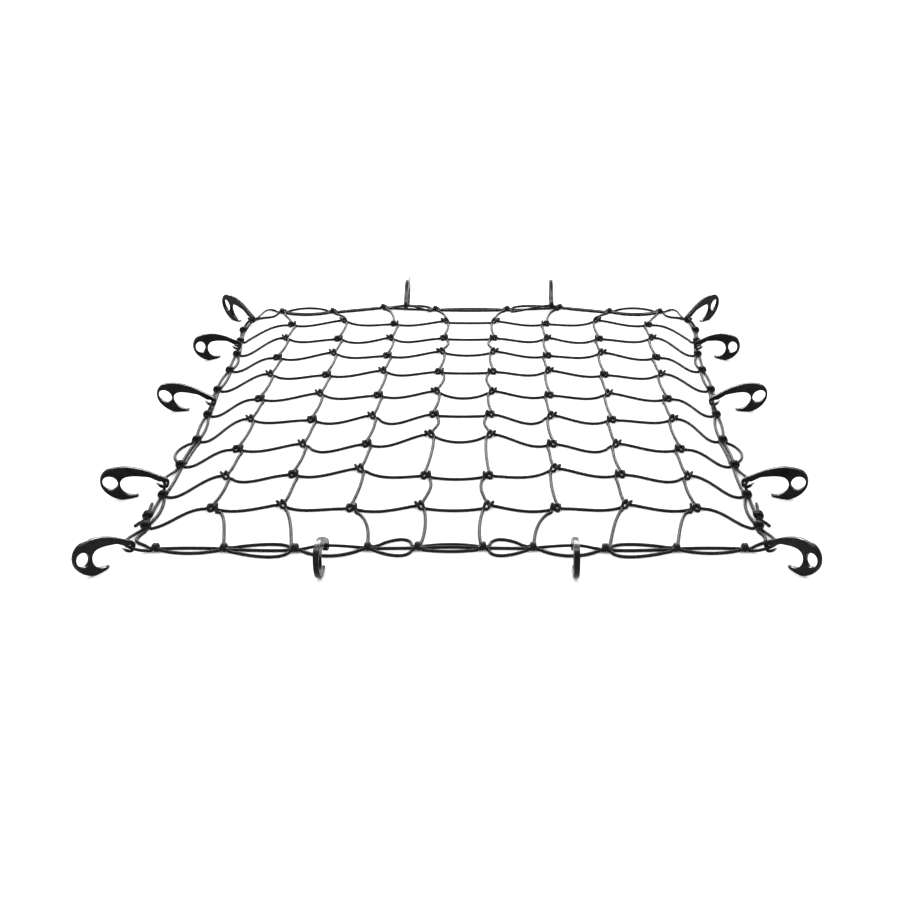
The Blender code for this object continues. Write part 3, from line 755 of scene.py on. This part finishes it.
def cord_mesh(name, routes, settings):
    """One mesh of round cords along the routes, in metres, with lengths in its UV map."""
    radius, sides = settings.diameter / MM / 2, settings.sides
    shift = origin_shift() + plan(0, 0, radius - CORD_MIDDLE)
    verts, faces, places = [], [], []
    for points, closed in routes:
        path = smooth_path(points, closed)
        frames = carried_frames(path, closed)
        rings = [(point, radius, *across) for point, across in zip(path, frames)]
        if not closed:
            rings = rounded_ends(rings, radius)
        lengths = [0.0]
        for (here, *_), (there, *_) in zip(rings, rings[1:]):
            lengths.append(lengths[-1] + (there - here).length)
        base = len(verts)
        for middle, reach, across, up in rings:
            for turn in range(sides):
                angle = math.tau * turn / sides
                around = across * math.cos(angle) + up * math.sin(angle)
                spot = (middle + shift + around * reach) * MM
                verts.append((spot.x, spot.y, max(spot.z, 0.0)))
        count = len(rings)
        for ring in range(count if closed else count - 1):
            following = (ring + 1) % count
            low = lengths[ring]
            high = lengths[following] if following else low + (path[0] - path[-1]).length
            for turn in range(sides):
                onward = (turn + 1) % sides
                faces.append((
                    base + ring * sides + turn, base + ring * sides + onward,
                    base + following * sides + onward, base + following * sides + turn))
                here, there = turn / sides, (turn + 1) / sides
                places += [(low, here), (low, there), (high, there), (high, here)]
        if not closed:
            for ring, order in ((0, -1), (count - 1, 1)):
                faces.append([base + ring * sides + turn for turn in range(sides)][::order])
                places += [(lengths[ring], 0.0)] * sides
    mesh = bpy.data.meshes.new(name)
    mesh.from_pydata(verts, [], faces)
    layer = mesh.uv_layers.new(name="cord")
    layer.data.foreach_set("uv", [value for place in places for value in place])
    mesh.shade_smooth()
    return mesh


def rounded_ends(rings, radius):
    """Add two smaller rings at each end of a cord, so that its cut end is rounded over."""
    result = list(rings)
    for first, step in ((0, 1), (-1, -1)):
        middle, _, across, up = rings[first]
        outward = (middle - rings[first + step][0]).normalized()
        extra = [
            (middle + outward * radius * reach, radius * size, across, up)
            for reach, size in CUT_END_RINGS
        ]
        result = extra[::-1] + result if first == 0 else result + extra
    return result


def add_object(name, data):
    item = bpy.data.objects.new(name, data)
    bpy.context.scene.collection.objects.link(item)
    return item


def add_piece(name, mesh, material, slot, *nodes):
    """Make a piece of the object that stands for nodes of the frame."""
    mesh.materials.append(material)
    piece = add_object(name, mesh)
    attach(piece, "root")
    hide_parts(*nodes)
    return piece


def rest_angle():
    """How far a hook leans back on its bow, so that its foot is on the ground under its eye."""
    reach, drop = FOOT_AT[0], -FOOT_AT[1]
    return math.atan2(drop, reach) - math.asin(EYE_HEIGHT / math.hypot(reach, drop))


def arc(radius, ends):
    """Points of a round stretch about the eye, between two angles in degrees."""
    first, last = ends
    steps = math.ceil(abs(last - first) / ARC_STEP)
    turns = [math.radians(first + (last - first) * step / steps) for step in range(steps + 1)]
    return [Vector((radius * math.cos(turn), radius * math.sin(turn), 0)) for turn in turns]


def smooth_line(points):
    """A smooth open curve through the points, evenly and finely stepped."""
    points = [Vector((*point, 0)) if len(point) == 2 else point for point in points]
    path = smooth_path(points, False)
    total = sum((after - before).length for before, after in zip(path, path[1:]))
    count = max(2, round(total / OUTLINE_STEP))
    line, passed, target = [path[0]], 0.0, total / count
    for before, after in zip(path, path[1:]):
        span = (after - before).length
        while passed + span >= target - 1e-6 and len(line) < count:
            line.append(before.lerp(after, (target - passed) / span))
            target += total / count
        passed += span
    return line + [path[-1]]


def round_corner(before, corner_at, after):
    """Three points that round a corner off."""
    start = corner_at + (before - corner_at).normalized() * CORNER_CUT
    end = corner_at + (after - corner_at).normalized() * CORNER_CUT
    return [start, (start + end) / 4 + corner_at / 2, end]


def hook_outline():
    """The hook's closed outline, round its back, foot, point, throat, eye and lip."""
    angle = rest_angle()
    step = Vector((math.cos(angle), -math.sin(angle), 0)) * FOOT_HALF
    foot = Vector((*FOOT_AT, 0))
    outer = smooth_line([
        LIP_BACK, *arc(EYE_RADIUS + EYE_WALL, END_ARC), *BACK_LINE, foot + step, foot - step,
        UNDER_POINT])
    inner = smooth_line([OVER_POINT, *THROAT_LINE, *arc(EYE_RADIUS, EYE_ARC)])
    point, lip_inner, lip_outer = (Vector((*at, 0)) for at in (POINT, LIP_INNER, LIP_OUTER))
    return [
        *outer, *round_corner(outer[-1], point, inner[0]), *inner,
        *round_corner(inner[-1], lip_inner, lip_outer),
        *round_corner(lip_inner, lip_outer, outer[0]),
    ]


def thumb_hole():
    tilt = math.radians(THUMB_HOLE_TILT)
    points = []
    for index in range(THUMB_HOLE_SIDES):
        turn = math.tau * index / THUMB_HOLE_SIDES
        long, short = THUMB_HOLE_RADII[0] * math.cos(turn), THUMB_HOLE_RADII[1] * math.sin(turn)
        points.append(Vector((
            THUMB_HOLE_AT[0] + long * math.cos(tilt) - short * math.sin(tilt),
            THUMB_HOLE_AT[1] + long * math.sin(tilt) + short * math.cos(tilt), 0)))
    return points


def area_of(loop):
    return sum(a.x * b.y - b.x * a.y for a, b in zip(loop, loop[1:] + loop[:1])) / 2


def roundings(loop, solid_left, edge):
    """At each point of an outline, the way into the plastic and how far its edge can round."""
    count = len(loop)
    ways, limits = [], []
    for index, here in enumerate(loop):
        before, after = loop[index - 1], loop[(index + 1) % count]
        travel = (after - before).normalized()
        ways.append(left_of(travel) * (1 if solid_left else -1))
        first, second = (here - before), (after - here)
        bend = first.cross(second).z / (first.length * second.length)
        bend = bend if solid_left else -bend
        limit = edge
        if bend > STRAIGHT_BEND:
            radius = (first.length + second.length) / 2 / bend
            limit = min(edge, ROUNDING_SHARE * radius)
        limits.append(limit)
    for _ in range(ROUNDING_PASSES):
        around = [(limits[index - 1] + limits[(index + 1) % count]) / 2 for index in range(count)]
        limits = [min(own, mean + ROUNDING_GROWTH) for own, mean in zip(limits, around)]
    return list(zip(ways, limits))


def hook_mesh(settings):
    """The hook's plate upright on its foot, with the eye over 0, 0, in metres."""
    edge, parting = settings.edge / MM, settings.parting / MM
    half = HOOK_THICKNESS / 2
    bm = bmesh.new()
    rims = {1: [], -1: []}
    for loop, solid_inside in ((hook_outline(), True), (thumb_hole(), False)):
        solid_left = (area_of(loop) > 0) == solid_inside
        rings = []
        for here, (way, limit) in zip(loop, roundings(loop, solid_left, edge)):
            section = []
            for turn in map(math.radians, ROUNDING_TURNS):
                section.append((limit * (1 - math.sin(turn)), half - limit * (1 - math.cos(turn))))
            section += [(0.0, PARTING_FOOT), (-parting, PARTING_TOP)]
            section += [(inset, -depth) for inset, depth in reversed(section)]
            rings.append([
                bm.verts.new((here.x + way.x * inset, depth, here.y + way.y * inset))
                for inset, depth in section
            ])
        for ring, following in zip(rings, rings[1:] + rings[:1]):
            for low in range(len(ring) - 1):
                bm.faces.new((ring[low], following[low], following[low + 1], ring[low + 1]))
        for turn, place in ((1, 0), (-1, -1)):
            rim = [ring[place] for ring in rings]
            for pair in zip(rim, rim[1:] + rim[:1]):
                rims[turn].append(bm.edges.get(pair) or bm.edges.new(pair))
    for edges in rims.values():
        bmesh.ops.triangle_fill(bm, use_beauty=True, edges=edges)
    bmesh.ops.recalc_face_normals(bm, faces=bm.faces)
    stand = Matrix.Translation((0, 0, EYE_HEIGHT)) @ Matrix.Rotation(-rest_angle(), 4, "Y")
    bmesh.ops.transform(bm, matrix=Matrix.Scale(MM, 4) @ stand, verts=bm.verts)
    for vert in bm.verts:
        vert.co.z = max(vert.co.z, 0.0)
    mesh = bpy.data.meshes.new("hook")
    bm.to_mesh(mesh)
    bm.free()
    mesh.shade_smooth()
    return mesh


# ---- materials ----

def set_inputs(tree, node, inputs):
    """Set a node's inputs, or link them to other sockets."""
    for key, value in inputs.items():
        if isinstance(value, bpy.types.NodeSocket):
            tree.links.new(value, node.inputs[key])
        else:
            node.inputs[key].default_value = value


def add_node(tree, kind, settings, inputs):
    """Add a node with its own settings and its inputs."""
    node = tree.nodes.new(kind)
    for name, value in settings.items():
        setattr(node, name, value)
    set_inputs(tree, node, inputs)
    return node


def new_material(name, roughness):
    material = bpy.data.materials.new(name)
    material.use_nodes = True
    shader = material.node_tree.nodes["Principled BSDF"]
    shader.inputs["Roughness"].default_value = roughness
    return material, material.node_tree, shader


def braided_polyester_cord(settings):
    """Textured polyester yarn braided over a rubber core.

    To the eye it is a soft, matt black with rounded yarns that cross at a slant, and a low sheen
    where a cord runs away from the eye. Its colour is painted shade: it darkens from the yarns'
    crowns down into the gaps between them, and a random fuzz varies it. The real braid has a pick
    of about 1.6 mm, too fine to show in the render, so it is drawn at 2.4 mm.
    """
    material, tree, shader = new_material("braided_polyester_cord", 0.36)
    place = add_node(tree, "ShaderNodeUVMap", {"uv_map": "cord"}, {})
    split = add_node(tree, "ShaderNodeSeparateXYZ", {}, {0: place.outputs["UV"]})

    def maths(operation, *values):
        inputs = dict(enumerate(values))
        return add_node(tree, "ShaderNodeMath", {"operation": operation}, inputs).outputs[0]

    along = maths("DIVIDE", split.outputs["X"], settings.pick / MM)
    around = maths("MULTIPLY", split.outputs["Y"], settings.carriers)
    one, other = maths("ADD", along, around), maths("SUBTRACT", along, around)
    checks = maths("ADD", maths("FLOOR", one), maths("FLOOR", other))
    over = maths("FLOORED_MODULO", checks, 2.0)
    crowns = [
        maths("ABSOLUTE", maths("SINE", maths("MULTIPLY", way, math.pi))) for way in (one, other)
    ]
    height = add_node(tree, "ShaderNodeMix", {}, {0: over, 2: crowns[0], 3: crowns[1]}).outputs[0]
    solid = add_node(tree, "ShaderNodeTexCoord", {}, {})
    fuzz = add_node(tree, "ShaderNodeTexNoise", {}, {
        "Vector": solid.outputs["Object"], "Scale": 900.0, "Detail": 3.0})
    # painted shade: the braid's height, times a random fuzz of the yarn's own uneven tone, blends
    # from the painted shade of the gaps up to the yarn colour on the crowns
    shade = maths("MULTIPLY", height, maths("ADD", fuzz.outputs["Fac"], 0.4))
    colour = add_node(tree, "ShaderNodeMix", {"data_type": "RGBA"}, {
        0: shade, 6: (*settings.gap, 1.0), 7: (*settings.yarn, 1.0)})
    bump = add_node(tree, "ShaderNodeBump", {}, {
        "Strength": 0.35, "Distance": 0.0003, "Height": height})
    set_inputs(tree, shader, {
        "Base Color": colour.outputs[2], "Normal": bump.outputs["Normal"],
        "Specular IOR Level": 0.02, "Sheen Weight": 0.03, "Sheen Roughness": 0.4})
    return material


def moulded_nylon(settings):
    """Black nylon, injection moulded and polished by its tool.

    It gives the eye a near-black, fairly glossy face with faint flow marks, and light streaks
    along its rounded edges.
    """
    material, tree, shader = new_material("moulded_nylon", 0.3)
    place = add_node(tree, "ShaderNodeTexCoord", {}, {})
    flow = add_node(tree, "ShaderNodeTexNoise", {}, {
        "Vector": place.outputs["Object"], "Scale": 120.0, "Detail": 4.0, "Roughness": 0.6})
    marks = add_node(tree, "ShaderNodeMapRange", {}, {
        "Value": flow.outputs["Fac"], "From Min": 0.45, "From Max": 0.75})
    colour = add_node(tree, "ShaderNodeMix", {"data_type": "RGBA"}, {
        0: marks.outputs["Result"], 6: (*settings.plastic, 1.0), 7: (*settings.scuff, 1.0)})
    gloss = add_node(tree, "ShaderNodeMapRange", {}, {
        "Value": flow.outputs["Fac"], "To Min": 0.2, "To Max": 0.34})
    grain = add_node(tree, "ShaderNodeTexNoise", {}, {
        "Vector": place.outputs["Object"], "Scale": 1200.0, "Detail": 2.0})
    bump = add_node(tree, "ShaderNodeBump", {}, {
        "Strength": 0.08, "Distance": 0.0002, "Height": grain.outputs["Fac"]})
    set_inputs(tree, shader, {
        "Base Color": colour.outputs[2], "Roughness": gloss.outputs["Result"],
        "Normal": bump.outputs["Normal"], "IOR": 1.53, "Specular IOR Level": 0.05})
    return material


def backdrop_paper(settings):
    """Seamless matt paper, which shows as an even pale ground."""
    material, tree, shader = new_material("backdrop_paper", 0.9)
    set_inputs(tree, shader, {"Base Color": (*settings.floor, 1.0), "Specular IOR Level": 0.2})
    return material


# ---- stage ----

def add_softbox(name, box, power):
    """A rectangular area light that faces a point, and that shows only in glossy surfaces."""
    light = bpy.data.lights.new(name, "AREA")
    light.shape = "RECTANGLE"
    light.size, light.size_y = box.size
    light.energy = power
    lamp = add_object(name, light)
    lamp.location = box.place
    lamp.visible_diffuse = False
    beam = Vector(box.aim) - Vector(box.place)
    lamp.rotation_euler = beam.to_track_quat("-Z", "Y").to_euler()


class CARGONET_OT_set_stage(bpy.types.Operator):
    """Add the floor, the soft studio light and the camera"""
    bl_idname = "cargonet.set_stage"
    bl_label = "Set the stage"

    def execute(self, context):
        settings = context.scene.cargonet_stage
        half = settings.floor_size / 2
        mesh = bpy.data.meshes.new("floor")
        corners = [(-half, -half, 0), (half, -half, 0), (half, half, 0), (-half, half, 0)]
        mesh.from_pydata(corners, [], [(0, 1, 2, 3)])
        mesh.materials.append(backdrop_paper(settings))
        floor = add_object("floor", mesh)

        world = bpy.data.worlds.new("studio")
        world.use_nodes = True
        ground = world.node_tree.nodes["Background"]
        ground.inputs["Color"].default_value = WHITE
        ground.inputs["Strength"].default_value = settings.surround
        context.scene.world = world
        add_softbox("back_softbox", BACK_SOFTBOX, settings.back_light)
        add_softbox("top_softbox", TOP_SOFTBOX, settings.top_light)
        context.scene.view_settings.view_transform = "Standard"

        lens = bpy.data.cameras.new("camera")
        lens.lens = settings.lens
        lens.sensor_width = SENSOR
        lens.shift_x = CAMERA_SHIFT
        camera = add_object("camera", lens)
        camera.location = CAMERA_AT
        camera.rotation_euler.x = math.radians(90 - CAMERA_PITCH)
        context.scene.camera = camera
        return {"FINISHED"}


class CARGONET_OT_tie_mesh(bpy.types.Operator):
    """Run the row cords and column cords of the mesh and tie them where they cross"""
    bl_idname = "cargonet.tie_mesh"
    bl_label = "Tie the mesh"

    def execute(self, context):
        settings = context.scene.cargonet_cord
        material = braided_polyester_cord(settings)
        for index, row in enumerate(ROWS):
            name = f"mesh_row_{row.name}"
            mesh = cord_mesh(name, [(row_route(index), False)], settings)
            add_piece(name, mesh, material, "mesh_cord", "mesh_net")
        for half in ("left", "right"):
            for column in range(1, COLUMNS + 1):
                name = f"mesh_column_{half}_{column}"
                route = column_route(column, half)
                route = route if half == "left" else mirrored(route)
                mesh = cord_mesh(name, [(route, False)], settings)
                add_piece(name, mesh, material, "mesh_cord", "mesh_net")
        return {"FINISHED"}


class CARGONET_OT_tie_border(bpy.types.Operator):
    """Run the border's cords round the mesh and tie them at every mesh cord"""
    bl_idname = "cargonet.tie_border"
    bl_label = "Tie the border"

    def execute(self, context):
        settings = context.scene.cargonet_cord
        material = braided_polyester_cord(settings)
        bays = [middle_bay(edge, OUTER) for edge in (FRONT_EDGE, BACK_EDGE)]
        front = across_middle(front_half("left"), bays[0], front_half("right"))
        back = across_middle(back_half("left"), bays[1], back_half("right"))
        pieces = (
            ("border_outer_front", [(front, False)]),
            ("border_outer_back", [(back, False)]),
            ("border_inner", [(inner_loop(), True)]),
            ("border_doubling", [(route, False) for route in third_cords()]),
        )
        for name, routes in pieces:
            mesh = cord_mesh(name, routes, settings)
            add_piece(name, mesh, material, "border_cord", "border_cord")
        return {"FINISHED"}


class CARGONET_OT_mould_hooks(bpy.types.Operator):
    """Mould the fourteen hooks and stand each on its bow, with the border in its eye"""
    bl_idname = "cargonet.mould_hooks"
    bl_label = "Mould the hooks"

    def execute(self, context):
        material = moulded_nylon(context.scene.cargonet_hook)
        plate = hook_mesh(context.scene.cargonet_hook)
        for half in ("left", "right"):
            for hook in HOOKS:
                mesh = plate.copy()
                heading, place = math.radians(hook.heading), hook_place(hook, half)
                if half == "right":
                    heading, place.x = math.pi - heading, -place.x
                place = (place + origin_shift()) * MM
                mesh.transform(Matrix.Translation(place) @ Matrix.Rotation(heading, 4, "Z"))
                name = f"{hook.name}_hook_{half}"
                piece = add_piece(name, mesh, material, "hook_plastic", f"hook_{hook.name}_{half}")
                piece.modifiers.new("flat_faces", "WEIGHTED_NORMAL")
        return {"FINISHED"}


class CARGONET_PT_panel(bpy.types.Panel):
    """Sizes and colours of the net, and the steps that make it"""
    bl_label = "Cargo net"
    bl_idname = "CARGONET_PT_panel"
    bl_space_type = "VIEW_3D"
    bl_region_type = "UI"
    bl_category = "Cargo net"

    def draw(self, context):
        layout = self.layout
        for group in (
            context.scene.cargonet_cord, context.scene.cargonet_hook, context.scene.cargonet_stage,
        ):
            box = layout.box()
            for name in group.__annotations__:
                box.prop(group, name)
        for step in STEPS:
            layout.operator(step.bl_idname)


STEPS = (
    CARGONET_OT_set_stage, CARGONET_OT_tie_mesh, CARGONET_OT_tie_border, CARGONET_OT_mould_hooks)
CLASSES = (CordSettings, HookSettings, StageSettings, *STEPS, CARGONET_PT_panel)


def register():
    for item in CLASSES:
        bpy.utils.register_class(item)
    bpy.types.Scene.cargonet_cord = PointerProperty(type=CordSettings)
    bpy.types.Scene.cargonet_hook = PointerProperty(type=HookSettings)
    bpy.types.Scene.cargonet_stage = PointerProperty(type=StageSettings)


def unregister():
    del bpy.types.Scene.cargonet_stage
    del bpy.types.Scene.cargonet_hook
    del bpy.types.Scene.cargonet_cord
    for item in reversed(CLASSES):
        bpy.utils.unregister_class(item)


def main():
    register()
    bpy.ops.cargonet.set_stage()
    bpy.ops.cargonet.tie_mesh()
    bpy.ops.cargonet.tie_border()
    bpy.ops.cargonet.mould_hooks()


if __name__ == "__main__":
    main()
